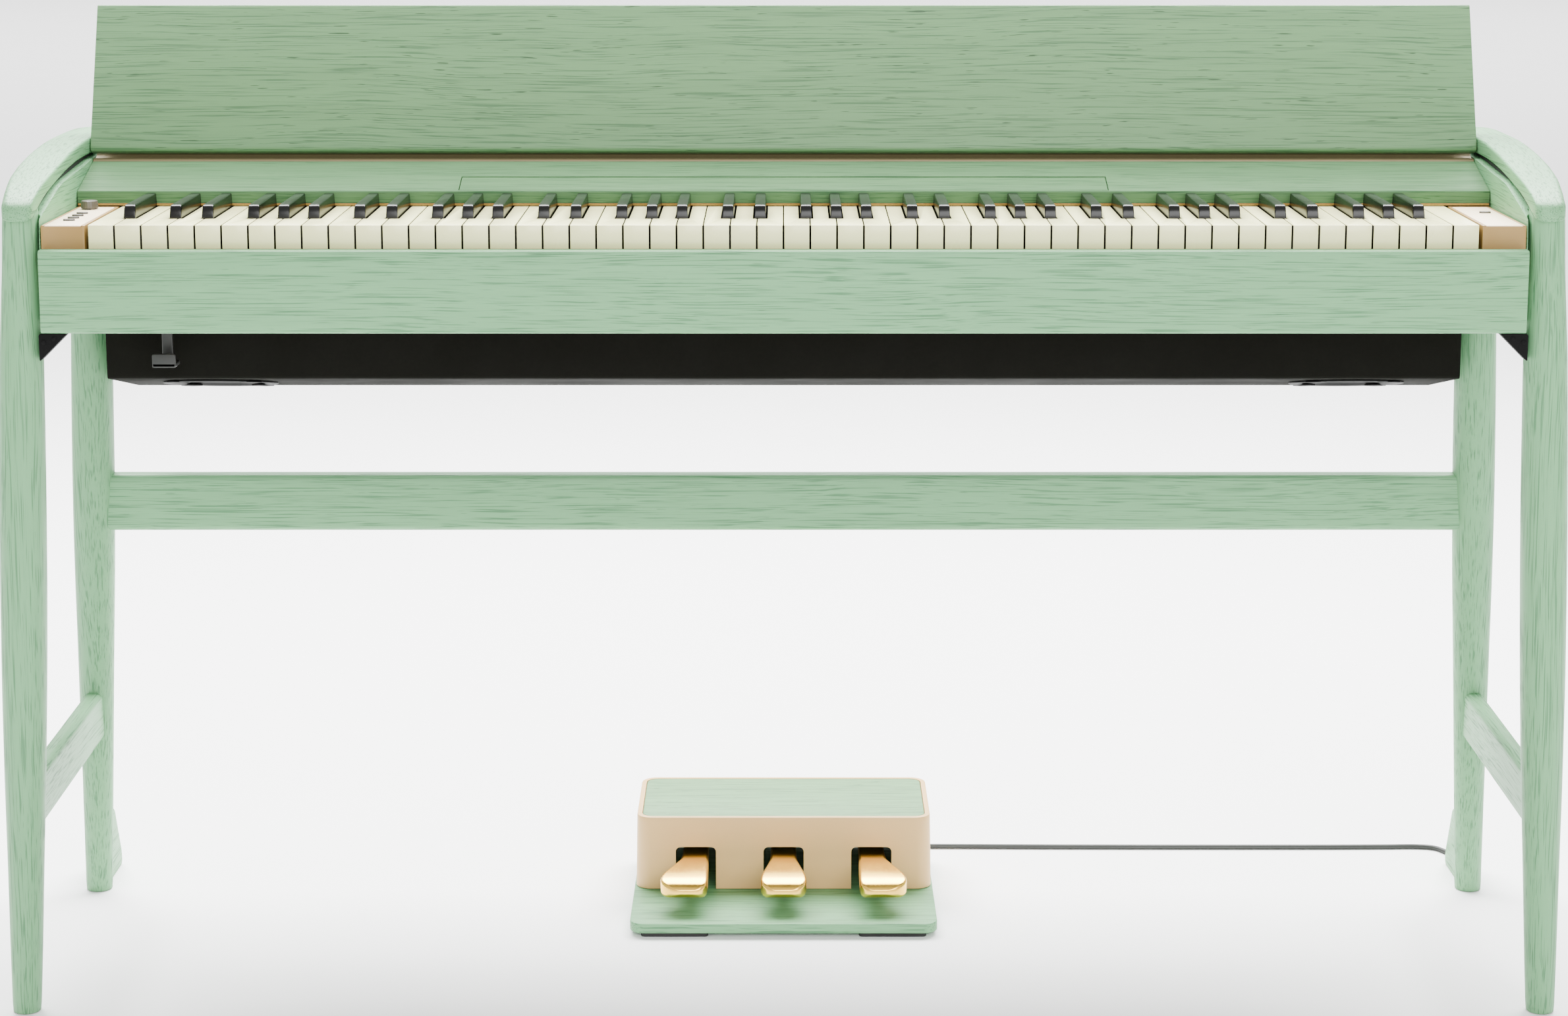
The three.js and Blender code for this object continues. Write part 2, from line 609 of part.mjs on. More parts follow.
const CORD_DIAMETER = 5;
const CORD_ROUTE = [
  [60, 445.6, 24], [60.3, 452, 23], [62.5, 460, 16.5], [69, 467, 8], [82, 471.5, 3.6],
  [104, 473.4, 2.9], [168, 473.4, 2.8], [260, 472, 2.8], [340, 471.2, 2.8], [420, 470.8, 2.8],
  [500, 470.8, 2.8], [586, 470.8, 2.8], [640, 471.6, 2.8], [676, 472, 2.8], [693, 467.5, 2.8],
  [702, 455, 2.8], [708.5, 440, 2.8], [713.5, 422, 2.9], [714, 402, 5.5], [712.5, 384, 17],
  [711.5, 371, 36], [711, 363.5, 58], [710, 360, 76], [705, 357.5, 100], [700, 354.3, 140],
  [696, 348.7, 240], [692, 343.4, 340], [688, 337.6, 430], [684, 333, 500], [676, 338, 545],
  [660, 347, 566], [640, 356, 574], [622, 361, 579], [613.5, 362, 589], [612, 362, 604],
];
const cordCurve = new THREE.CatmullRomCurve3(
  CORD_ROUTE.map(([x, t, z]) => new THREE.Vector3(x, depth(t), z)), false, "centripetal",
);
const cordSection = new THREE.Shape();
cordSection.absarc(0, 0, CORD_DIAMETER / 2, 0, Math.PI * 2);
const cordOptions = { steps: 64, extrudePath: cordCurve, curveSegments: 4, bevelEnabled: false };
place("pedal_cord", new THREE.ExtrudeGeometry(cordSection, cordOptions), RUBBER);
const relief = new THREE.CylinderGeometry(4, 3.4, 12, 16).translate(60, depth(439), 24);
place("cord_strain_relief", relief, RUBBER);
place(
  "cord_plug",
  turned([[0, 604.4], [3.6, 604.4], [5, 609], [5, 634], [3, 634.4], [3, 652], [0, 652]], 612, 362, 16),
  BLACK_METAL,
);

export default root;
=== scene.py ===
"""Digital piano on a four-legged stand with a separate three-pedal unit.

The pieces' sizes and places are in millimetres. Values given straight to Blender are in metres.
"""
import math

import bmesh
import bpy
from mathutils import Matrix, Vector


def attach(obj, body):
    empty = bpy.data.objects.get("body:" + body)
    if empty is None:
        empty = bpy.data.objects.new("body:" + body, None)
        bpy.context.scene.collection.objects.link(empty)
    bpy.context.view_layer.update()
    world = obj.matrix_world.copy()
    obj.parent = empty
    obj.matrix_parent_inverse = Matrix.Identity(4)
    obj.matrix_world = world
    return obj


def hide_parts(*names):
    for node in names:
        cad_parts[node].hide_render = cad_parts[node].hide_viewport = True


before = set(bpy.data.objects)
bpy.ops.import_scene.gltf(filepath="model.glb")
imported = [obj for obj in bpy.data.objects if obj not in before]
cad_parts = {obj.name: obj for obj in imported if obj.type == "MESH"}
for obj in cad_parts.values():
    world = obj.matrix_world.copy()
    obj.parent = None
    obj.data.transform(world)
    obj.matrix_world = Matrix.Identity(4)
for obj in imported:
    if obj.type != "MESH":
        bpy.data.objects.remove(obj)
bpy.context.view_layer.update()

KEY_FRONT_Y = -213.5
KEY_PITCH = 23.5
WHITE_KEYS = 52
KEY_SPAN = KEY_PITCH * WHITE_KEYS
KEY_TOP = 725.7
WHITE_BOTTOM = 704.7
BLACK_TOP = 737.6
BLACK_WIDTH = 10.4
BLACK_FRONT = 51
MIDDLE_C = 23
BLACK_SHIFTS = {0: -2.6, 1: 2.6, 3: -3.4, 4: 0, 5: 3.4}
BODY_HALF = 652.4
LID_HALF = 655.4
SIDES = ((-1, "left"), (1, "right"))


def at(x, t, z):
    """Millimetres, with t the depth behind the white key fronts, to metres in the frame."""
    return Vector((x / 1000, (t + KEY_FRONT_Y) / 1000, z / 1000))


# ---------- camera ----------

camera_data = bpy.data.cameras.new("camera")
camera = bpy.data.objects.new("camera", camera_data)
bpy.context.scene.collection.objects.link(camera)
bpy.context.scene.camera = camera
camera_data.sensor_width = 36
camera_data.lens = 71.387
camera_data.shift_y = -0.075
camera_data.clip_end = 100
camera.location = at(0.4, -2711.1, 1051.2)
camera.rotation_euler = (math.radians(90 - 9.886), 0, 0)


# ---------- materials ----------


def colour(r, g, b):
    """An 8-bit screen colour as a linear one."""
    screen = (r / 255, g / 255, b / 255)
    linear = [c / 12.92 if c <= 0.04045 else ((c + 0.055) / 1.055) ** 2.4 for c in screen]
    return (*linear, 1)


def dimmed(tone, share):
    """A tone at a share of its brightness."""
    return tuple(c * share for c in tone[:3]) + (1,)


class Look:
    """A node material with a Principled shader, built a node at a time."""

    def __init__(self, name, roughness=0.5, metallic=0.0, specular=0.5):
        self.material = bpy.data.materials.new(name)
        self.material.use_nodes = True
        self.tree = self.material.node_tree
        self.shader = self.tree.nodes["Principled BSDF"]
        self.shader.inputs["Roughness"].default_value = roughness
        self.shader.inputs["Metallic"].default_value = metallic
        self.shader.inputs["Specular IOR Level"].default_value = specular
        self.coordinates = self.tree.nodes.new("ShaderNodeTexCoord").outputs["Object"]

    def node(self, kind, inputs=None, **settings):
        node = self.tree.nodes.new("ShaderNode" + kind)
        for key, value in settings.items():
            setattr(node, key, value)
        for key, value in (inputs or {}).items():
            if isinstance(value, bpy.types.NodeSocket):
                self.tree.links.new(value, node.inputs[key])
            else:
                node.inputs[key].default_value = value
        return node

    def noise(self, scale, detail=3.0, roughness=0.55, vector=None):
        """Noise whose scale is cycles per metre along each axis."""
        mapped = self.node("Mapping", {"Vector": vector or self.coordinates, "Scale": scale})
        return self.node(
            "TexNoise",
            {"Vector": mapped.outputs[0], "Scale": 1.0, "Detail": detail, "Roughness": roughness},
        ).outputs["Fac"]

    def ramp(self, value, low, high, start=0.0, end=1.0):
        """value from low..high to start..end."""
        return self.node(
            "MapRange",
            {"Value": value, "From Min": low, "From Max": high, "To Min": start, "To Max": end},
        ).outputs["Result"]

    def mix(self, factor, a, b, blend="MIX"):
        node = self.node("Mix", data_type="RGBA", blend_type=blend)
        for index, value in ((0, factor), (6, a), (7, b)):
            if isinstance(value, bpy.types.NodeSocket):
                self.tree.links.new(value, node.inputs[index])
            else:
                node.inputs[index].default_value = value
        return node.outputs[2]

    def math(self, operation, a, b):
        return self.node("Math", {0: a, 1: b}, operation=operation).outputs[0]

    def base(self, socket):
        self.tree.links.new(socket, self.shader.inputs["Base Color"])

    def rough(self, socket):
        self.tree.links.new(socket, self.shader.inputs["Roughness"])

    def bump(self, height, strength, distance):
        node = self.node("Bump", {"Height": height, "Strength": strength, "Distance": distance})
        self.tree.links.new(node.outputs[0], self.shader.inputs["Normal"])


def along(axis, lengthwise, across):
    """A noise scale that is long along one axis."""
    return tuple(lengthwise if letter == axis else across for letter in "xyz")


def stained_oak(name, body, pore, axis, dash=0.5, roughness=0.5, gloss=0.6):
    """Pale stained oak: faint bands, fine darker pores and a few near-black dashes along the grain."""
    look = Look(name, roughness, specular=0.5 * gloss)
    drift = look.noise(along(axis, 2.2, 7), 2)
    offset = look.math("MULTIPLY", drift, 0.02)
    shifted = look.node("VectorMath", {0: look.coordinates, 1: offset}, operation="ADD").outputs[0]
    bands = look.noise(along(axis, 1.6, 60), 4, 0.6, shifted)
    fibres = look.noise(along(axis, 16, 1500), 2, 0.6, shifted)
    pores = look.noise(along(axis, 13, 800), 2, 0.5, shifted)
    dashes = look.noise(along(axis, 40, 760), 1, 0.5, shifted)
    tone = look.mix(look.ramp(bands, 0.36, 0.64), body, dimmed(body, 0.93))
    tone = look.mix(look.ramp(fibres, 0.35, 0.7, 0.0, 0.14), tone, dimmed(body, 0.7))
    grouped = look.math("ADD", pores, look.ramp(bands, 0.35, 0.65, -0.015, 0.015))
    pore_mask = look.ramp(grouped, 0.53, 0.64, 0.0, 0.7)
    tone = look.mix(pore_mask, tone, pore)
    dash_mask = look.ramp(dashes, 0.70, 0.74, 0.0, dash)
    tone = look.mix(dash_mask, tone, dimmed(pore, 0.35))
    look.base(tone)
    look.rough(look.ramp(pore_mask, 0, 1, roughness - 0.04, roughness + 0.18))
    depth = look.math("ADD", pore_mask, look.math("MULTIPLY", fibres, 0.4))
    look.bump(look.math("SUBTRACT", 1.0, depth), 0.35, 0.0004)
    look.shader.inputs["Coat Weight"].default_value = 0.1 * gloss
    look.shader.inputs["Coat Roughness"].default_value = 0.35
    return look.material


def painted(name, tone, roughness, speckle=0.04, grain=900, coat=0.0, specular=0.5):
    """Lacquer, plastic or painted metal with a fine orange-peel surface and faint colour variation."""
    look = Look(name, roughness, specular=specular)
    fine = look.noise((grain, grain, grain), 2)
    broad = look.noise((14, 14, 14), 2)
    darker = dimmed(tone, 1 - speckle * 3)
    mixed = look.mix(look.ramp(fine, 0.3, 0.7, 0, 0.5), tone, darker)
    look.base(look.mix(look.ramp(broad, 0.35, 0.65, 0, 0.35), mixed, darker))
    look.rough(look.ramp(broad, 0.3, 0.7, roughness * 0.88, min(1, roughness * 1.12)))
    look.bump(fine, 0.06 + speckle, 0.0002)
    look.shader.inputs["Coat Weight"].default_value = coat
    look.shader.inputs["Coat Roughness"].default_value = 0.12
    return look.material


def brushed(name, tone, roughness, axis, metallic=1.0):
    """Metal with fine lines along one axis."""
    look = Look(name, roughness, metallic)
    lines = look.noise(along(axis, 14, 1600), 3)
    smudges = look.noise((22, 22, 22), 3)
    look.base(look.mix(look.ramp(smudges, 0.35, 0.7, 0, 0.5), tone, dimmed(tone, 0.86)))
    scattered = look.math(
        "ADD", look.ramp(lines, 0.3, 0.7, -0.03, 0.04), look.ramp(smudges, 0.4, 0.7, 0.0, 0.05),
    )
    look.rough(look.math("ADD", scattered, roughness))
    look.bump(lines, 0.04, 0.0001)
    return look.material


def felt(name, tone):
    look = Look(name, 0.95)
    fuzz = look.noise((1500, 1500, 1500), 3)
    clumps = look.noise((260, 260, 260), 2)
    mixed = look.mix(look.ramp(fuzz, 0.3, 0.7), tone, tuple(c * 0.6 for c in tone[:3]) + (1,))
    look.base(look.mix(look.ramp(clumps, 0.4, 0.7, 0, 0.4), mixed, tuple(c * 0.75 for c in tone[:3]) + (1,)))
    look.bump(fuzz, 0.6, 0.0004)
    look.shader.inputs["Sheen Weight"].default_value = 0.4
    return look.material


GREEN = colour(106, 158, 112)
GREEN_PORE = colour(56, 104, 68)
OAK_X = stained_oak("green_oak_lengthwise", GREEN, GREEN_PORE, "x", 0.35)
OAK_Y = stained_oak("green_oak_fore_and_aft", GREEN, GREEN_PORE, "y", 0.3)
OAK_Z = stained_oak("green_oak_upright", GREEN, GREEN_PORE, "z", 0.3)
# The lid's oak is a darker copy of the green oak: painted shade for the lid, which is less lit. The pedal
# top plate uses the same darker tone.
LID_OAK_PAINTED_SHADE = stained_oak("green_oak_lid_painted_shade", colour(104, 144, 100), colour(62, 98, 66), "x", 0.8)
# The fallboard and book stop use a darker copy of the green oak: painted shade standing for the shadow of
# the open lid.
FALLBOARD_OAK_PAINTED_SHADE = stained_oak("green_oak_fallboard_painted_shade", colour(82, 118, 80), colour(54, 88, 58), "x", 0.4, 0.6, 0.1)
IVORY = painted("ivory_key", colour(242, 240, 178), 0.28, 0.01, 600, coat=0.35)
# Dark key sides: partly the keys' bare sides, partly painted shade for the gaps between keys.
KEY_SIDE_AND_GAP_SHADE = painted("key_side_and_painted_gap_shade", colour(38, 36, 28), 0.8, 0.05, 700, specular=0.1)
EBONY = painted("black_key", colour(6, 6, 5), 0.24, 0.05, 700, specular=0.3)
BLACK_CASE = painted("black_cabinet", colour(22, 22, 19), 0.9, 0.08, 500, specular=0.03)
BLACK_METAL = painted("black_metal", colour(8, 8, 8), 0.6, 0.06, 1200, specular=0.08)
GREY = painted("grey_plastic", colour(78, 73, 62), 0.42, 0.03, 1100)
DARK_GREY = painted("dark_grey_plastic", colour(72, 72, 74), 0.5, 0.04, 1100)
HOLLOW = painted("hollow_plastic", colour(150, 150, 150), 0.6, 0.03, 1100)
HOOK_GREY = painted("hook_plastic", colour(30, 31, 29), 0.5, 0.04, 1100)
BUTTON = painted("button_plastic", colour(66, 63, 58), 0.4, 0.03, 1100)
TAN = painted("tan_lacquer", colour(150, 116, 56), 0.5, 0.035, 1400)
CREAM = painted("cream_lacquer", colour(246, 226, 190), 0.45, 0.012, 1400)
BEIGE = painted("beige_lacquer", colour(212, 172, 112), 0.5, 0.03, 1400)
RUBBER = painted("black_rubber", colour(34, 34, 33), 0.8, 0.06, 1500)
CORD = painted("grey_cord_sheath", colour(30, 33, 28), 0.55, 0.05, 1500)
BOARD = painted("plain_board", colour(92, 86, 70), 0.8, 0.08, 300)
GOLD_FELT = felt("gold_felt", colour(190, 148, 66))
BRASS = brushed("polished_brass", colour(255, 206, 92), 0.2, "y")
BRONZE = brushed("bronze_strip", colour(128, 116, 84), 0.42, "x", 0.4)


# ---------- mesh building ----------


def mesh_object(name, vertices, faces):
    mesh = bpy.data.meshes.new(name)
    mesh.from_pydata([at(*v) for v in vertices], [], faces)
    work = bmesh.new()
    work.from_mesh(mesh)
    bmesh.ops.remove_doubles(work, verts=work.verts, dist=1e-6)
    bmesh.ops.recalc_face_normals(work, faces=work.faces)
    work.to_mesh(mesh)
    work.free()
    piece = bpy.data.objects.new(name, mesh)
    bpy.context.scene.collection.objects.link(piece)
    return piece


def prism(name, axis, outline, low, high):
    """An outline drawn out along x (outline is depth, height), y (x, height) or z (x, depth)."""
    order = {
        "x": lambda a, b, c: (c, a, b),
        "y": lambda a, b, c: (a, c, b),
        "z": lambda a, b, c: (a, b, c),
    }[axis]
    count = len(outline)
    vertices = [order(a, b, low) for a, b in outline] + [order(a, b, high) for a, b in outline]
    faces = [list(range(count)), list(range(2 * count - 1, count - 1, -1))]
    faces += [[i, (i + 1) % count, count + (i + 1) % count, count + i] for i in range(count)]
    return mesh_object(name, vertices, faces)


def loft(name, rings):
    """A closed skin over rings of (x, t, z) points, all the same length."""
    count = len(rings[0])
    vertices = [point for ring in rings for point in ring]
    faces = [list(range(count)), list(range(len(vertices) - 1, len(vertices) - count - 1, -1))]
    for k in range(len(rings) - 1):
        for i in range(count):
            j = (i + 1) % count
            faces.append([k * count + i, k * count + j, (k + 1) * count + j, (k + 1) * count + i])
    return mesh_object(name, vertices, faces)


def lathe(name, profile, x, t, segments=48):
    """A solid turned about the upright axis through (x, t), from a profile of (radius, height)."""
    rings = []
    for radius, z in profile:
        ring = []
        for i in range(segments):
            a = 2 * math.pi * i / segments
            ring.append((x + radius * math.cos(a), t + radius * math.sin(a), z))
        rings.append(ring)
    return loft(name, rings)


def turn_about_x(piece, degrees, place):
    """Turns a piece modelled at (0, 0) about the X axis and moves it to its place."""
    piece.data.transform(Matrix.Translation(-at(0, 0, 0)))
    piece.data.transform(Matrix.Rotation(math.radians(degrees), 4, "X"))
    piece.data.transform(Matrix.Translation(place))
    return piece


def rectangle(a0, a1, b0, b1):
    return [(a0, b0), (a1, b0), (a1, b1), (a0, b1)]


def rounded(points, radius, steps=5):
    """The outline with each corner turned into an arc; radius is one number, or one for each corner."""
    result = []
    for i, corner in enumerate(points):
        r = radius[i] if isinstance(radius, (list, tuple)) else radius
        here, before, after = Vector(corner), Vector(points[i - 1]), Vector(points[(i + 1) % len(points)])
        u, v = (before - here), (after - here)
        reach = min(r, u.length * 0.48, v.length * 0.48)
        if reach <= 0:
            result.append(tuple(here))
            continue
        a, b = here + u.normalized() * reach, here + v.normalized() * reach
        for s in range(steps + 1):
            k = s / steps
            w = 1 / math.sqrt(2)
            weight = (1 - k) ** 2 + 2 * k * (1 - k) * w + k * k
            point = (a * (1 - k) ** 2 + here * (2 * k * (1 - k) * w) + b * k * k) / weight
            result.append(tuple(point))
    return result


def curve_through(points, steps=6):
    """Catmull-Rom points through a list of 2D points."""
    result = []
    for i in range(len(points) - 1):
        p0, p1, p2, p3 = (Vector(points[min(max(k, 0), len(points) - 1)]) for k in (i - 1, i, i + 1, i + 2))
        for s in range(steps):
            k = s / steps
            result.append(
                tuple(0.5 * (2 * p1 + (p2 - p0) * k + (2 * p0 - 5 * p1 + 4 * p2 - p3) * k * k
                             + (3 * p1 - p0 - 3 * p2 + p3) * k ** 3))
            )
    result.append(tuple(points[-1]))
    return result


def value_at(table, t):
    """Linear interpolation in a list of (t, value) pairs sorted by t."""
    if t <= table[0][0]:
        return table[0][1]
    for (a, va), (b, vb) in zip(table, table[1:]):
        if t <= b:
            return va + (vb - va) * (t - a) / (b - a)
    return table[-1][1]


def apply_modifiers(piece):
    graph = bpy.context.evaluated_depsgraph_get()
    mesh = bpy.data.meshes.new_from_object(piece.evaluated_get(graph))
    old = piece.data
    piece.modifiers.clear()
    piece.data = mesh
    bpy.data.meshes.remove(old)


def bevel(piece, width, segments=3, angle=40):
    modifier = piece.modifiers.new("bevel", "BEVEL")
    modifier.width = width / 1000
    modifier.segments = segments
    modifier.limit_method = "ANGLE"
    modifier.angle_limit = math.radians(angle)
    modifier.use_clamp_overlap = True
    apply_modifiers(piece)
    return piece


def cut(piece, *tools):
    for tool in tools:
        modifier = piece.modifiers.new("cut", "BOOLEAN")
        modifier.operation = "DIFFERENCE"
        modifier.solver = "EXACT"
        modifier.object = tool
        apply_modifiers(piece)
        bpy.data.objects.remove(tool)
    return piece


def merge(first, *others):
    """Puts the others' meshes into the first object as loose shells."""
    work = bmesh.new()
    work.from_mesh(first.data)
    for other in others:
        work.from_mesh(other.data)
        bpy.data.objects.remove(other)
    work.to_mesh(first.data)
    work.free()
    return first


def dress(piece, material, body="piano", replaces=(), sharp=32):
    """Gives a finished mesh its material, shading, body and the CAD nodes it stands for."""
    piece.data.materials.clear()
    for each in material if isinstance(material, (list, tuple)) else (material,):
        piece.data.materials.append(each)
    piece.data.shade_smooth()
    piece.data.set_sharp_from_angle(angle=math.radians(sharp))
    if replaces:
        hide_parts(*([replaces] if isinstance(replaces, str) else replaces))
    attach(piece, body)
    return piece


# ---------- legs and stretchers ----------

FRONT_LEG_DEPTH = 5
FRONT_LEG = [
    (60, 29), (147, 33), (209, 36.3), (271, 38.7), (332, 40.4), (420, 41.3), (514, 40.5), (590, 38.8),
    (620, 37.6), (644, 36), (668, 34.4), (691, 33), (748, 32),
]
REAR_LEG = [
    (74, 29), (140, 31.4), (270, 36.4), (340, 39.4), (430, 41.2), (530, 40.6), (631.4, 38.6),
]
REAR_LEG_TOP_DEPTH = 300
REAR_LEG_LEAN = 45 / 600
FRONT_SPLAY = (694.5, 0.0335)
REAR_SPLAY = (701.8, 0.0401)
STABILIZER_X = 701
SIDE_STRETCHER_Z = 191
REAR_STRETCHER_Z = 412
ARM_INNER_X = 656.2
LEG_TRIM_X = 656.3
LEG_TRIM_FROM = 700
ARM_TOP = [
    (-16, 741.5), (-12, 745.5), (0, 750.5), (26, 757), (56, 762.5), (117, 771.5), (148, 775.5),
    (203, 780.5), (259, 782), (323, 782), (387, 778), (402, 775),
]
ARM_UNDER = [
    (-16, 730.5), (0, 735.5), (26, 743.5), (54, 750), (115, 759.6), (162, 764.6), (204, 766.6),
    (259, 767), (323, 767), (387, 764), (402, 763),
]
LINING_TOP = [
    (2.2, 729), (4, 731), (16, 734), (47, 742), (92, 752.2), (141, 756), (187, 759.6), (233, 763),
    (300, 763), (383, 760),
]


def rear_leg_depth(z):
    return REAR_LEG_TOP_DEPTH + REAR_LEG_LEAN * (600 - z)


def leg_x(splay, z):
    """How far out a leg's axis is at a height: legs splay sideways towards the floor."""
    return splay[0] - splay[1] * z


def lean(piece, side, splay, foot_depth, backward):
    """Shears an upright turned leg sideways by its splay and backwards by its lean."""
    for vertex in piece.data.vertices:
        z = vertex.co.z * 1000
        vertex.co.x += side * leg_x(splay, z) / 1000
        vertex.co.y += (foot_depth - backward * z) / 1000


def leg_profile(foot, rows):
    smooth = curve_through([(0, foot)] + rows, 5)
    profile = [(0.01, 0), (foot / 2 - 2.2, 0), (foot / 2 - 1.0, 0.45), (foot / 2 - 0.3, 1.2)]
    profile += [(d / 2, z) for z, d in smooth if z > 2]
    return profile + [(0.01, profile[-1][1])]


for side, name in SIDES:
    leg = lathe(f"leg_front_{name}_wood", leg_profile(25.6, FRONT_LEG), 0, 0)
    lean(leg, side, FRONT_SPLAY, FRONT_LEG_DEPTH, 0)
    for vertex in leg.data.vertices:
        t = vertex.co.y * 1000 - KEY_FRONT_Y
        vertex.co.z = min(vertex.co.z, (value_at(ARM_UNDER, t) - 0.5) / 1000)
        if vertex.co.z > LEG_TRIM_FROM / 1000:
            vertex.co.x = side * max(side * vertex.co.x, LEG_TRIM_X / 1000)
    dress(leg, OAK_Z, replaces=f"leg_front_{name}")

    leg = lathe(f"leg_rear_{name}_wood", leg_profile(26.5, REAR_LEG), 0, 0)
    lean(leg, side, REAR_SPLAY, rear_leg_depth(0), REAR_LEG_LEAN)
    dress(leg, OAK_Z, replaces=f"leg_rear_{name}")

    leg_to_leg = rear_leg_depth(190) - FRONT_LEG_DEPTH
    front_end, rear_end = FRONT_LEG_DEPTH + 12, rear_leg_depth(190) - 12
    outline = rounded(rectangle(-9, 9, 166, 216), 7, 6)
    rail = prism(f"side_stretcher_{name}_wood", "y", outline, front_end, rear_end)
    front_x, rear_x = leg_x(FRONT_SPLAY, SIDE_STRETCHER_Z), leg_x(REAR_SPLAY, SIDE_STRETCHER_Z)
    for vertex in rail.data.vertices:
        share = (vertex.co.y * 1000 - KEY_FRONT_Y - FRONT_LEG_DEPTH) / leg_to_leg
        vertex.co.x += side * (front_x + (rear_x - front_x) * share) / 1000
    dress(rail, OAK_Y, replaces=f"side_stretcher_{name}")

    outline = [(rear_leg_depth(20) + 10, 0), (425, 0), (425, 13), (397, 71), (rear_leg_depth(60) + 11, 71)]
    plate = prism(
        f"stabilizer_{name}_wood", "x", rounded(outline, [0, 6, 8, 8, 0]),
        side * STABILIZER_X - 6, side * STABILIZER_X + 6,
    )
    dress(bevel(plate, 1.5), OAK_Y, replaces=f"stabilizer_{name}")

depth = rear_leg_depth(REAR_STRETCHER_Z)
outline = rounded(rectangle(depth - 11, depth + 11, 384, 441), 7, 6)
end = leg_x(REAR_SPLAY, REAR_STRETCHER_Z) - 13
rail = prism("rear_stretcher_wood", "x", outline, -end, end)
dress(rail, OAK_X, replaces="rear_stretcher")


# ---------- armrests and sides ----------


ARM_OUTER = [(-16, 682.5), (0, 684.5), (24, 688), (60, 692.5), (100, 695), (150, 695.5), (402, 695.5)]


def arm_section(x_inner, x_outer, z_low, z_high):
    outline = rectangle(x_inner, x_outer, z_low, z_high)
    return rounded(outline, [1.2, 1.2, min(6, (z_high - z_low) / 2.2), 2.5], 5)


for side, name in SIDES:
    stations = [-16 + 9 * (1 - math.cos(math.radians(a))) for a in (0, 12, 25, 40, 55, 70, 90)]
    stations += [0, 6, 13, 20] + [26 + 9.4 * k for k in range(1, 40)] + [400, 402]
    top = curve_through(ARM_TOP, 8)
    under = curve_through(ARM_UNDER, 8)
    rings = []
    for t in stations:
        shrink = 9 - math.sqrt(max(0.0, 81 - (t + 7) ** 2)) if t < -7 else 0
        outer = value_at(ARM_OUTER, t) - shrink
        section = arm_section(ARM_INNER_X + shrink * 0.8, outer, value_at(under, t), value_at(top, t))
        rings.append([(side * x, t, z) for x, z in section])
    arm = loft(f"armrest_{name}_wood", rings)
    dress(arm, OAK_Y, replaces=f"armrest_{name}", sharp=50)

    under_arm = [(t, z - 0.5) for t, z in ARM_UNDER if t > 30]
    board = prism(f"side_board_{name}_wood", "x", [(402, 632), (26.5, 632), (26.5, 742.5)] + under_arm,
                  side * 662.1, side * 687.4)
    lining_top = [(t, z) for t, z in curve_through(LINING_TOP, 5) if t < 383]
    lining = prism(f"side_lining_{name}_wood", "x", [(383, 632), (2.4, 642)] + lining_top + [(383, 760)],
                   side * 653.1, side * 662.1)
    corner = prism("corner_tool", "z", rectangle(*sorted((side * 658.4, side * 700)), -30, 27), 560, 800)
    leg = lathe("leg_tool", [(0.01, 600), (19, 620), (17.4, 668), (16.6, 748), (0.01, 760)], 0, 0, 48)
    lean(leg, side, FRONT_SPLAY, FRONT_LEG_DEPTH, 0)
    lining = cut(lining, corner, leg)
    dress(bevel(board, 1.2), OAK_Y, replaces=f"side_panel_{name}")
    dress(bevel(lining, 1.0), OAK_Y, replaces=f"side_panel_{name}")

    # A thin black strip on the groove's inner wall: painted shade standing for the shadow in the groove
    # under the armrest.
    shade = prism(f"groove_painted_shade_strip_{name}", "x",
                  [(t, z + 0.3) for t, z in LINING_TOP if 16 <= t <= 300]
                  + [(t, z - 0.6) for t, z in reversed(ARM_UNDER) if 26 <= t <= 300],
                  side * 660.4, side * 661.8)
    dress(shade, RUBBER)

    x0, x1 = side * 654, side * 629
    outline = rounded([(x0, 631.4), (x1, 631.4), (x0, 606.5)], 2)
    bracket = prism(f"corner_bracket_{name}_metal", "y", outline, -14, 2)
    screws = []
    for x, z in ((side * 650, 624), (side * 640.5, 627)):
        head = lathe("screw", [(0.01, 0), (2.2, 0), (2.2, 0.6), (1.2, 1.1), (0.01, 1.1)], 0, 0, 20)
        screws.append(turn_about_x(head, 90, at(x, -13.8, z)))
    bracket = merge(bevel(bracket, 0.8), *screws)
    dress(bracket, BLACK_METAL, replaces=f"corner_bracket_{name}")


# ---------- body ----------

slip = prism("key_slip_wood", "x", rounded(rectangle(-18, -2.7, 632, 705.4), 3.2, 5), -651.2, 651.2)
bevel(slip, 0.6, 2, 60)
dress(slip, OAK_X, replaces="key_slip")

FALLBOARD_ANGLE = math.radians(16.3)


def on_slope(along_slope, above):
    c, s = math.cos(FALLBOARD_ANGLE), math.sin(FALLBOARD_ANGLE)
    return (150 + along_slope * c - above * s, 739.4 + along_slope * s + above * c)


outline = [(150, 728.3), (150, 739.4), (220.6, 760), (220.6, 750.5), (163, 728.3)]
outline = rounded(outline, [0.5, 1.6, 0.6, 0.6, 0.6])
fallboard = prism("fallboard_wood", "x", outline, -BODY_HALF, BODY_HALF)
recess = prism(
    "recess_tool", "x", [on_slope(2.2, -4.6), on_slope(35.5, -4.6), on_slope(35.5, 6), on_slope(2.2, 6)],
    -300.7, 300.7,
)
# Darker oak on the fallboard: painted shade of the open lid.
dress(cut(fallboard, recess), FALLBOARD_OAK_PAINTED_SHADE, replaces="fallboard")

flap_outline = [on_slope(2.6, -0.6), on_slope(3.2, 0), on_slope(33, -0.1)]
flap_outline += [
    on_slope(33 + 2 * math.sin(math.radians(a)), -2.1 + 2 * math.cos(math.radians(a)))
    for a in range(15, 181, 15)
]
flap_outline += [on_slope(3.2, -4.1), on_slope(2.6, -3.5)]
flap = prism("book_stop_wood", "x", flap_outline, -300, 300)
dress(bevel(flap, 0.5, 2, 50), FALLBOARD_OAK_PAINTED_SHADE, "stop_flap", "book_stop")

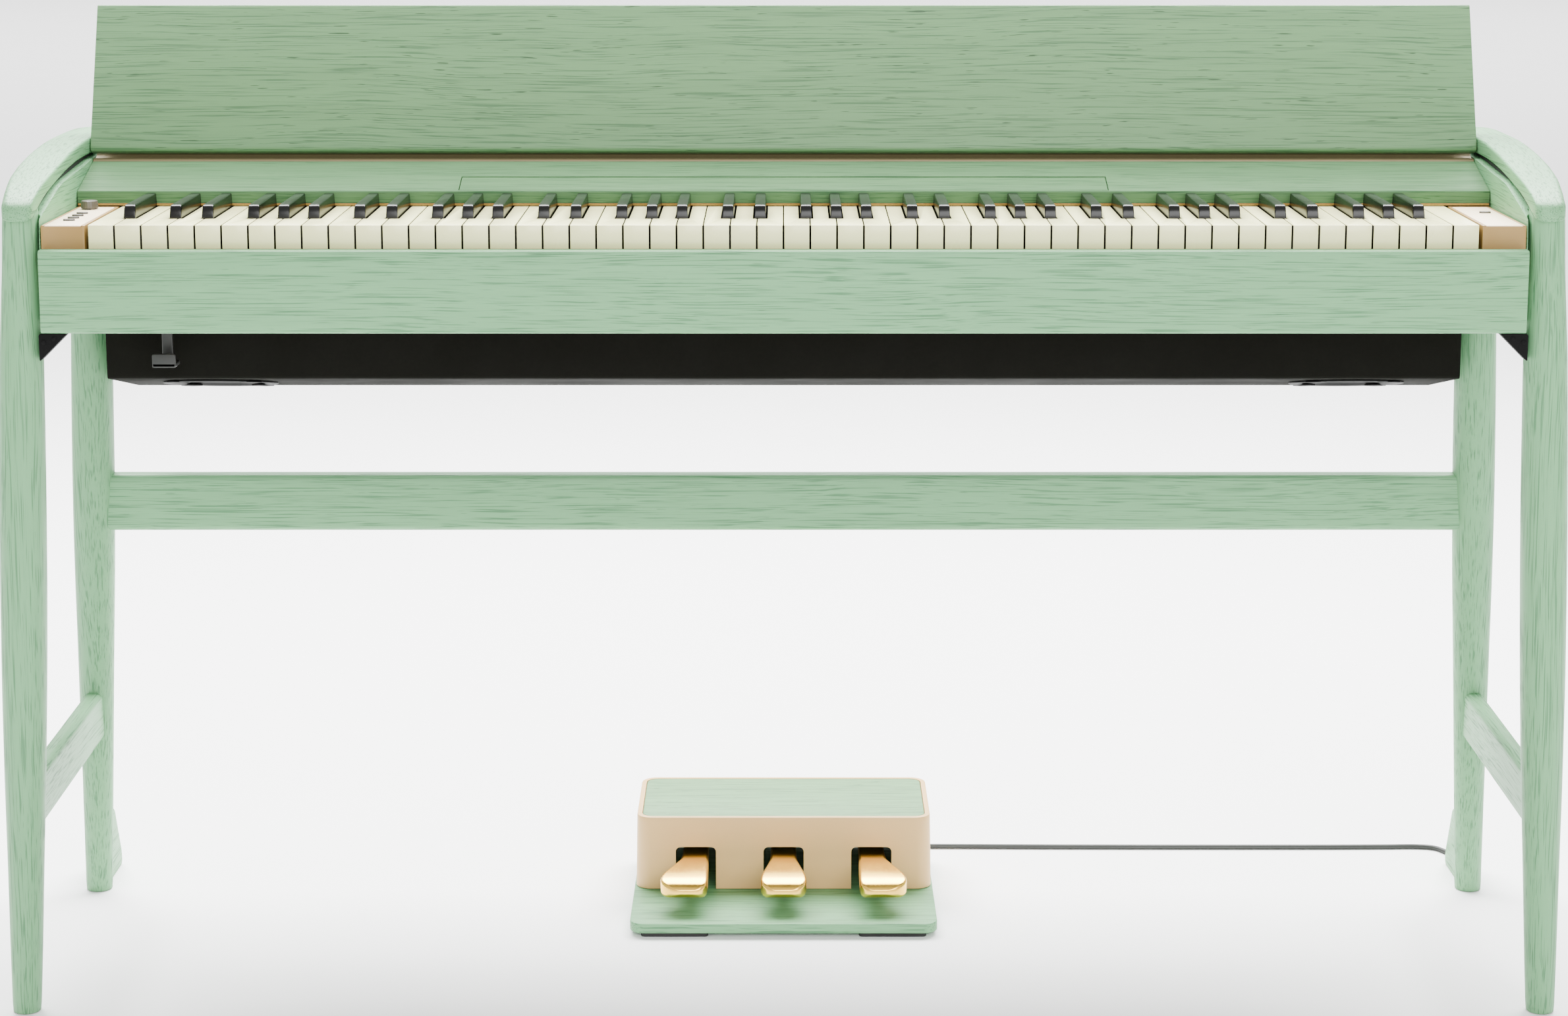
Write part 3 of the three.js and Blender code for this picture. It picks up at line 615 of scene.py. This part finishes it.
RAIL_LOW = [(221, 752), (221, 760.8), (222.5, 762.2), (226, 762.6), (226, 752)]
RAIL_HIGH = [
    (226.4, 752), (226.4, 762), (230.2, 761.6), (235.8, 763.4),
    (239.4, 767.6), (240.2, 771.4), (244, 771.4), (244, 752),
]
strip = merge(
    prism("lid_hinge_strip", "x", rounded(RAIL_LOW, 0.8, 3), -BODY_HALF, BODY_HALF),
    prism("rail_high", "x", rounded(RAIL_HIGH, 0.8, 3), -BODY_HALF, BODY_HALF),
)
dress(strip, BRONZE, replaces="lid_hinge_rail")

outline = rounded(rectangle(244.6, 399, 757, 771.4), 2)
board = prism("rear_top_board_wood", "x", outline, -BODY_HALF, BODY_HALF)
dress(board, OAK_X, replaces="rear_top_board")
for node in ("keybed", "back_panel"):
    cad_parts[node].data.materials[0] = BOARD

# Speaker cabinet
SPEAKER_X = 545
FLOOR_SLOPE = math.atan2(30, 138)
outline = [(190, 557), (190, 639.6), (340, 639.6), (340, 526), (332, 526)]
tray = prism("speaker_cabinet_shell", "x", rounded(outline, [2.5, 0.5, 0.5, 2, 2]), -640, 640)
hollow = prism("hollow_tool", "x", [(198, 565.5), (198, 660), (332, 660), (332, 536)], -632, 632)
cut(tray, hollow)


def tilt_to_floor(piece, x):
    """Moves a piece modelled about the origin, facing down, onto the cabinet's sloping floor."""
    return turn_about_x(piece, -math.degrees(FLOOR_SLOPE), at(x, 259, 542))


for side in (-1, 1):
    tool = lathe("hole_tool", [(0.01, -40), (47, -40), (47, 40), (0.01, 40)], 0, 0, 64)
    cut(tray, tilt_to_floor(tool, side * SPEAKER_X))
cut(tray, prism("window_tool", "y", rounded(rectangle(-424, -308, 611, 645), [3, 3, 0, 0]), 180, 207))
dress(tray, BLACK_CASE, replaces="speaker_cabinet")

panel = prism("jack_panel_plate", "y", rectangle(-423.5, -308.5, 611.4, 639.5), 193, 197.5)
for x in (-392, -366):
    tool = lathe("jack_tool", [(0.01, -20), (3.4, -20), (3.4, 20), (0.01, 20)], 0, 0, 32)
    cut(panel, turn_about_x(tool, 90, at(x, 195, 625)))
cut(panel, prism("usb_tool", "y", rectangle(-340, -327, 619, 631), 180, 210))
dress(bevel(panel, 0.4, 2), DARK_GREY, replaces="jack_panel")

for side, name in SIDES:
    flange = lathe(
        "flange",
        [(0.01, 7), (46, 7), (46, -0.4), (54, -0.4), (55, -0.8), (55, -1.4), (54, -1.9), (52, -2),
         (46.5, -1.4), (44, 0.2), (41.5, 1.4), (38.5, 0.2), (35, 1.4), (16, 4), (13, 2.2), (8, 1.4),
         (0.01, 1.1)],
        0, 0, 64,
    )
    tabs = []
    for k in range(4):
        tab = prism("tab", "z", rounded(rectangle(-8, 8, 40, 58.5), 3), -2.4, -0.5)
        tab.data.transform(Matrix.Translation(-at(0, 0, 0)))
        tab.data.transform(Matrix.Rotation(math.pi / 4 + k * math.pi / 2, 4, "Z"))
        tab.data.transform(Matrix.Translation(at(0, 0, 0)))
        tabs.append(bevel(tab, 0.8, 2))
    dress(tilt_to_floor(merge(flange, *tabs), side * SPEAKER_X), BLACK_METAL,
          replaces=f"speaker_{name}")

hook = merge(
    bevel(prism("headphone_hook_plastic", "y", rectangle(-583, -573, 576, 639.4), 168.4, 172.6), 1.0),
    bevel(prism("hook_plate", "y", rounded(rectangle(-589, -567, 574, 578), 1.2), 150, 173), 0.8),
    bevel(prism("hook_lip", "y", rounded(rectangle(-589, -567, 574.2, 587), 2.2), 150, 153), 0.9),
)
dress(hook, HOOK_GREY, replaces="headphone_hook")


# ---------- lid ----------

LID_PIVOT = (230.2, 771)
LID_TRAVEL = 116.7
LEAF_TRAVEL = 190.2


def on_closed_lid(along_lid, out):
    c, s = math.cos(math.radians(184.3)), math.sin(math.radians(184.3))
    return (LID_PIVOT[0] + along_lid * c + out * s, LID_PIVOT[1] + along_lid * s - out * c)


def turned(points, pivot, degrees):
    c, s = math.cos(math.radians(degrees)), math.sin(math.radians(degrees))
    result = []
    for t, z in points:
        across, up = t - pivot[0], z - pivot[1]
        result.append((pivot[0] + across * c - up * s, pivot[1] + across * s + up * c))
    return result


def cylinder_x(name, radius, x0, x1, t, z, segments=24):
    turns = [2 * math.pi * k / segments for k in range(segments)]
    outline = [(t + radius * math.cos(a), z + radius * math.sin(a)) for a in turns]
    return prism(name, "x", outline, x0, x1)


main_leaf = rounded(
    [on_closed_lid(-4, -7.2), on_closed_lid(-4, 4.8), on_closed_lid(142, 4.8), on_closed_lid(142, -7.2)],
    [4.5, 2.5, 1.5, 3], 6,
)
lid = prism("lid_panel_wood", "x", turned(main_leaf, LID_PIVOT, -LID_TRAVEL), -LID_HALF, LID_HALF)
bevel(lid, 1.2, 3, 60)
# Darker oak on the lid: painted shade.
dress(lid, LID_OAK_PAINTED_SHADE, "lid", "lid_panel")
for side, name in SIDES:
    pin = cylinder_x(f"lid_pin_{name}", 1.9, side * 655.2, side * 662, *LID_PIVOT)
    dress(pin, BRONZE, "lid")

leaf_pivot = on_closed_lid(143.6, 5)
open_pivot = turned([leaf_pivot], LID_PIVOT, -LID_TRAVEL)[0]
knuckles = []
for k in range(64):
    x0 = -640 + k * 20
    knuckles.append(cylinder_x("leaf_hinge_barrel", 1.2, x0 + 0.2, x0 + 19.8, *open_pivot, 12))
dress(merge(*knuckles), BRONZE, "lid", "leaf_hinge")

front_leaf = rounded(
    [(83.2, 753.1), (1.5, 732), (-1.9, 729), (-2.2, 708), (-16.6, 708), (-16.6, 733), (-12, 738.5),
     (85, 764.6)],
    [1, 6, 4, 2.5, 2.5, 5, 5, 1], 5,
)
front_leaf = turned(turned(front_leaf, leaf_pivot, -LEAF_TRAVEL), LID_PIVOT, -LID_TRAVEL)
leaf = prism("lid_front_leaf_wood", "x", front_leaf, -LID_HALF, LID_HALF)
dress(bevel(leaf, 1.2, 3, 60), LID_OAK_PAINTED_SHADE, "front_leaf", "lid_front_leaf")


# ---------- keys ----------


def boundary(index):
    return -KEY_SPAN / 2 + (index + 1) * KEY_PITCH


def black_centre(index):
    shift = BLACK_SHIFTS.get((index + 5) % 7)
    return None if shift is None or not 0 <= index <= 50 else boundary(index) + shift


def white_key(index, rear):
    """A white key: a moulded top with a softened front edge, narrowed where black keys pass."""
    left, right = boundary(index - 1) + 0.5, boundary(index) - 0.5
    half = BLACK_WIDTH / 2 + 1.3
    lower, upper = black_centre(index - 1), black_centre(index)
    neck_left = left if lower is None else max(left, lower + half)
    neck_right = right if upper is None else min(right, upper - half)
    outline, radii = [(left, 0), (right, 0)], [1.2, 1.2]
    if neck_right < right:
        outline += [(right, BLACK_FRONT - 1.4), (neck_right, BLACK_FRONT - 1.4)]
        radii += [1.0, 0.6]
    outline += [(neck_right, rear), (neck_left, rear)]
    radii += [0.3, 0.3]
    if neck_left > left:
        outline += [(neck_left, BLACK_FRONT - 1.4), (left, BLACK_FRONT - 1.4)]
        radii += [0.6, 1.0]
    return bevel(prism("white_key", "z", rounded(outline, radii, 2), WHITE_BOTTOM, KEY_TOP), 0.55, 2, 60)


def dress_white(piece, name, body, node):
    """Ivory above, with dark sides: partly the keys' bare sides, partly painted shade that keeps the gaps
    between keys dark.
    """
    piece.name = name
    dress(piece, (IVORY, KEY_SIDE_AND_GAP_SHADE), body, node)
    for face in piece.data.polygons:
        if abs(face.normal.x) > 0.9 and face.center.z * 1000 < KEY_TOP - 1:
            face.material_index = 1


def black_key(index, rear):
    """A black key: wider at its foot, sloping at the front, with rounded top edges."""
    x = black_centre(index)
    rings = []
    stations = (
        (BLACK_FRONT, KEY_TOP - 17, KEY_TOP + 1.2, 5.2, 5.2),
        (BLACK_FRONT + 0.6, KEY_TOP - 17, KEY_TOP + 5, 5.3, 5.0),
        (BLACK_FRONT + 2.2, KEY_TOP - 17, BLACK_TOP - 2.0, 5.3, 4.75),
        (BLACK_FRONT + 3.4, KEY_TOP - 17, BLACK_TOP - 0.7, 5.3, 4.7),
        (BLACK_FRONT + 5.2, KEY_TOP - 17, BLACK_TOP - 0.2, 5.3, 4.7),
        (BLACK_FRONT + 9, KEY_TOP - 17, BLACK_TOP, 5.3, 4.7), (148.4, KEY_TOP - 17, BLACK_TOP, 5.3, 4.7),
        (148.6, KEY_TOP - 17, KEY_TOP - 0.5, 5.3, 5.2), (rear, KEY_TOP - 17, KEY_TOP - 0.5, 5.3, 5.2),
    )
    for t, low, high, foot, crown in stations:
        outline = [(x - foot, low), (x + foot, low), (x + crown, high), (x - crown, high)]
        rings.append([(a, t, b) for a, b in rounded(outline, [0.3, 0.3, 1.0, 1.0], 3)])
    return loft("black_key", rings)


for bank, first, last in (("bass", 0, MIDDLE_C - 1), ("treble", MIDDLE_C + 3, WHITE_KEYS - 1)):
    whites = [white_key(index, 240) for index in range(first, last + 1)]
    blacks = [black_key(index, 254) for index in range(first, last) if black_centre(index) is not None]
    dress_white(merge(*whites), f"white_keys_{bank}_ivory", "piano", f"white_keys_{bank}")
    keys = merge(*blacks)
    keys.name = f"black_keys_{bank}_ebony"
    dress(keys, EBONY, replaces=f"black_keys_{bank}")

for note, index in (("c4", 0), ("d4", 1), ("e4", 2)):
    dress_white(white_key(MIDDLE_C + index, 222), f"key_{note}_ivory", f"{note}_key", f"key_{note}")
for note, index in (("c_sharp4", 0), ("d_sharp4", 1)):
    key = black_key(MIDDLE_C + index, 222)
    key.name = f"key_{note}_ebony"
    dress(key, EBONY, f"{note}_key", f"key_{note}")

strip = prism("key_felt_strip", "x", rounded(rectangle(149.2, 158, 726, 728.1), 0.5, 2), -652, 652)
dress(strip, GOLD_FELT, replaces="key_felt")


# ---------- control blocks ----------

CONTROL_X = 635
POWER_X = CONTROL_X + 1.5
POWER_DEPTH = 96
KNOB = (-636.7, 128.5)


def block(side, name):
    x0, x1 = sorted((side * 613.4, side * 651.8))
    outline = rounded(rectangle(x0, x1, 664.4, KEY_TOP - 0.2), 1.0, 3)
    body = prism(f"control_block_{name}_lacquer", "y", outline, 0, 149)
    outline = rounded(rectangle(x0 + 3, x1 - 3, -5, 143.5), 2)
    cut(body, prism("pocket_tool", "z", outline, KEY_TOP - 1.2, KEY_TOP + 5))
    dress(bevel(body, 0.4, 2), TAN, replaces=f"control_block_{name}")
    outline = rounded(rectangle(x0 + 3.2, x1 - 3.2, 0.6, 143.2), [0.4, 0.4, 2, 2])
    return bevel(prism(f"control_plate_{name}", "z", outline, KEY_TOP - 2, KEY_TOP - 0.3), 0.3, 2)


def button_slot(plate, x, t):
    outline = rounded(rectangle(x - 5.6, x + 5.6, t - 2.5, t + 2.5), 2.2, 4)
    cut(plate, prism("slot_tool", "z", outline, KEY_TOP - 4, KEY_TOP + 4))


def button(name, x, t, body, node, look):
    outline = rounded(rectangle(x - 5.2, x + 5.2, t - 2.1, t + 2.1), 1.9, 4)
    cap = prism(name, "z", outline, KEY_TOP - 5, KEY_TOP + 1.2)
    dress(bevel(cap, 0.4, 2), look, body, node)


plate = block(-1, "left")
for k, t in enumerate((37, 54.7, 72.4, 90)):
    button_slot(plate, -CONTROL_X, t)
    button(f"function_button_{k + 1}_cap_piece", -CONTROL_X, t, f"function_button_{k + 1}_cap",
           f"function_button_{k + 1}", BUTTON)
dress(plate, CREAM)
plate = block(1, "right")
button_slot(plate, POWER_X, POWER_DEPTH)
dress(plate, CREAM)
button(
    "power_button_cap_piece", POWER_X, POWER_DEPTH, "power_button_cap", "power_button", GREY,
)

knob = lathe(
    "volume_knob_plastic",
    [(0.01, 717), (2, 717), (2, 725.9), (7.2, 725.9), (7.7, 726.3), (7.8, 727), (7.6, 732.2), (7.2, 732.9),
     (6.4, 733.2), (0.01, 733.2)], *KNOB, 96,
)
for i, vertex in enumerate(knob.data.vertices):
    centre = at(*KNOB, 0)
    radius = math.hypot(vertex.co.x - centre.x, vertex.co.y - centre.y) * 1000
    if radius > 7 and vertex.co.z > 0.7265 and vertex.co.z < 0.7325 and i % 4 < 2:
        vertex.co.x = centre.x + (vertex.co.x - centre.x) * 0.975
        vertex.co.y = centre.y + (vertex.co.y - centre.y) * 0.975
dress(knob, GREY, "knob", "volume_knob")


# ---------- pedal unit ----------

base = prism("pedal_base_wood", "z", rounded(rectangle(-151, 151, 197.5, 436), 14, 8), 4.3, 14)
dress(bevel(base, 1.0, 3, 60), OAK_X, replaces="pedal_base")
for side, name in SIDES:
    outline = rounded(rectangle(side * 107 - 33, side * 107 + 33, 200, 432), 4)
    foot = prism(f"pedal_foot_{name}_rubber", "z", outline, 0, 4.2)
    dress(bevel(foot, 0.5, 2), RUBBER, replaces=f"pedal_foot_{name}")

rings = []
for z, grow in ((14.4, 0), (15, 0.4), (84, -0.8), (88, -0.9), (88.9, -1.3), (89.2, -2)):
    plan = rounded(rectangle(-149 - grow, 149 + grow, 301.5 - grow, 440), 15, 8)
    rings.append([(x, t, z) for x, t in plan])
housing = loft("pedal_housing_lacquer", rings)
cut(housing, prism("hollow_tool", "z", rectangle(-139, 139, 308, 433), 10, 80))
cut(housing, prism("pocket_tool", "z", rounded(rectangle(-143.2, 143.2, 306.4, 435.6), 12, 8), 86.2, 95))
PEDAL_X = (-88.6, 0, 88.6)
for x in PEDAL_X:
    outline = [(x - 20.3, 10), (x + 20.3, 10), (x + 20.3, 58.3), (x - 20.3, 58.3)]
    cut(housing, prism("slot_tool", "y", rounded(outline, [0, 0, 5, 5]), 294, 320))
dress(housing, (BEIGE, HOLLOW), replaces="pedal_housing")
for face in housing.data.polygons:
    c = face.center
    t, z = c.y * 1000 - KEY_FRONT_Y, c.z * 1000
    in_hollow = abs(c.x) < 0.1392 and 307.8 < t < 433.2 and z < 80.2
    in_slot = 303 < t < 308.2 and z < 58.4 and any(abs(c.x * 1000 - x) < 20.5 for x in PEDAL_X)
    face.material_index = 1 if in_hollow or in_slot else 0
plate = prism("pedal_top_plate_wood", "z", rounded(rectangle(-142.6, 142.6, 307, 435), 11.5, 8), 86.4, 89.2)
dress(bevel(plate, 1.1, 3, 60), LID_OAK_PAINTED_SHADE, replaces="pedal_top_plate")

PEDAL_TOP = [(222.4, 39.5), (224, 41.6), (228, 44.6), (240, 48.4), (262, 51.2), (300, 52.5), (409, 52)]
PEDAL_UNDER = [(222.4, 36), (224, 33.4), (229, 31), (250, 34.6), (266, 39.5), (300, 42), (409, 42)]
PEDAL_REACH = {
    "even": [(222.4, 9), (223.4, 14), (226, 18.4), (230, 21), (237, 22.6), (248, 21.6), (272, 16), (300, 13),
             (409, 13)],
    "inner": [(222.4, 1), (223.4, 6), (226, 10), (230, 12.2), (237, 13.2), (248, 13.5), (272, 13.5),
              (300, 13), (409, 13)],
    "outer": [(222.4, 15), (223.4, 21), (226, 27), (230, 31), (237, 33.2), (248, 31), (272, 20), (300, 13.6),
              (409, 13)],
}
for k, (x, name) in enumerate(zip(PEDAL_X, ("left", "centre", "right"))):
    to_left = curve_through(PEDAL_REACH[("outer", "even", "inner")[k]], 6)
    to_right = curve_through(PEDAL_REACH[("inner", "even", "outer")[k]], 6)
    top, under = curve_through(PEDAL_TOP, 6), curve_through(PEDAL_UNDER, 6)
    stations = [222.4, 222.8, 223.4, 224.4, 226, 228, 230.5, 234, 237, 241]
    stations += [246, 252, 259, 267, 276, 286, 300, 330, 370, 409]
    rings = []
    for t in stations:
        low, high = value_at(under, t), value_at(top, t)
        outline = rectangle(x - value_at(to_left, t), x + value_at(to_right, t), low, high)
        rings.append([(a, t, b) for a, b in rounded(outline, [3, 3, 3.2, 3.2], 7)])
    bar = loft(f"pedal_{name}_brass", rings)
    axle = cylinder_x("axle", 4, x - 16, x + 16, 400, 47)
    dress(merge(bar, axle), BRASS, f"pedal_{name}_lever", f"pedal_{name}", sharp=40)


# ---------- cord ----------

CORD_ROUTE = [
    (60, 445.6, 24), (60.3, 452, 23), (62.5, 460, 16.5), (69, 467, 8),
    (82, 471.5, 3.6), (104, 473.4, 2.9), (168, 473.4, 2.8), (260, 472, 2.8),
    (340, 471.2, 2.8), (420, 470.8, 2.8), (500, 470.8, 2.8), (586, 470.8, 2.8),
    (640, 471.6, 2.8), (676, 472, 2.8), (693, 467.5, 2.8), (702, 455, 2.8),
    (708.5, 440, 2.8), (713.5, 422, 2.9), (714, 402, 5.5), (712.5, 384, 17),
    (711.5, 371, 36), (711, 363.5, 58), (710, 360, 76), (705, 357.5, 100),
    (700, 354.3, 140), (696, 348.7, 240), (692, 343.4, 340), (688, 337.6, 430),
    (684, 333, 500), (676, 338, 545), (660, 347, 566), (640, 356, 574),
    (622, 361, 579), (613.5, 362, 589), (612, 362, 604),
]


def centripetal(points, steps):
    """Catmull-Rom through 3D points with centripetal spacing."""
    path = [2 * points[0] - points[1]] + points + [2 * points[-1] - points[-2]]
    result = []
    for p0, p1, p2, p3 in zip(path, path[1:], path[2:], path[3:]):
        d0, d1, d2 = (max((b - a).length ** 0.5, 1e-6) for a, b in ((p0, p1), (p1, p2), (p2, p3)))
        m1 = ((p1 - p0) / d0 - (p2 - p0) / (d0 + d1) + (p2 - p1) / d1) * d1
        m2 = ((p2 - p1) / d1 - (p3 - p1) / (d1 + d2) + (p3 - p2) / d2) * d1
        for s in range(steps):
            k = s / steps
            result.append(
                p1 * (2 * k ** 3 - 3 * k * k + 1) + m1 * (k ** 3 - 2 * k * k + k)
                + p2 * (3 * k * k - 2 * k ** 3) + m2 * (k ** 3 - k * k)
            )
    return result + [points[-1]]


route = centripetal([at(*p) for p in CORD_ROUTE], 8)
curve = bpy.data.curves.new("pedal_cord_sheath", "CURVE")
curve.dimensions = "3D"
curve.bevel_depth = 0.0025
curve.bevel_resolution = 4
curve.use_fill_caps = True
spline = curve.splines.new("POLY")
spline.points.add(len(route) - 1)
for point, place in zip(spline.points, route):
    point.co = (*place, 1)
curve.materials.append(CORD)
cord = bpy.data.objects.new("pedal_cord_sheath", curve)
bpy.context.scene.collection.objects.link(cord)
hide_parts("pedal_cord")
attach(cord, "piano")

plug = lathe(
    "cord_plug_body",
    [(0.01, 603.6), (3.0, 603.6), (3.6, 604.6), (4.2, 607), (4.9, 609), (5, 612), (5, 633),
     (4.6, 634.2), (3, 634.4), (3, 651.5), (2.4, 652), (0.01, 652)],
    612, 362, 40,
)
dress(plug, BLACK_METAL, replaces="cord_plug")
relief = lathe(
    "cord_relief_rubber",
    [(0.01, 0), (3.9, 0), (3.9, 6), (3.4, 6.6), (3.9, 7.2), (3.3, 8), (3.7, 8.6), (3.2, 9.4),
     (3.5, 10), (3.1, 11), (2.9, 12), (0.01, 12)],
    0, 0, 32,
)
turn_about_x(relief, -90, at(60, 433.4, 24))
dress(relief, RUBBER, replaces="cord_strain_relief")


# ---------- floor and light ----------

floor_mesh = bpy.data.meshes.new("floor")
floor_mesh.from_pydata([(-40, -40, 0), (40, -40, 0), (40, 60, 0), (-40, 60, 0)], [], [(0, 1, 2, 3)])
floor = bpy.data.objects.new("floor", floor_mesh)
bpy.context.scene.collection.objects.link(floor)
floor_look = Look("pale_floor", 0.9, specular=0.1)
floor_look.base(floor_look.mix(floor_look.noise((3, 3, 3), 2), colour(246, 246, 246), colour(243, 243, 243)))
floor_mesh.materials.append(floor_look.material)

world = bpy.data.worlds.new("studio")
bpy.context.scene.world = world
world.use_nodes = True
world.node_tree.nodes["Background"].inputs["Color"].default_value = (1, 1, 1, 1)
world.node_tree.nodes["Background"].inputs["Strength"].default_value = 1.05


def area_light(name, place, target, width, height, power):
    data = bpy.data.lights.new(name, "AREA")
    data.shape = "RECTANGLE"
    data.size, data.size_y = width, height
    data.energy = power
    light = bpy.data.objects.new(name, data)
    light.location = place
    light.rotation_euler = (Vector(target) - Vector(place)).to_track_quat("-Z", "Y").to_euler()
    bpy.context.scene.collection.objects.link(light)


area_light("overhead", (0, 1.5, 3.2), (0, 0.1, 0.4), 4.2, 2.2, 900)
area_light("backdrop", (0, 14, 9), (0, 15, 0), 26, 16, 5500)
area_light("front", (0.8, -4.4, 2.2), (0, 0, 0.5), 3.6, 2.0, 210)
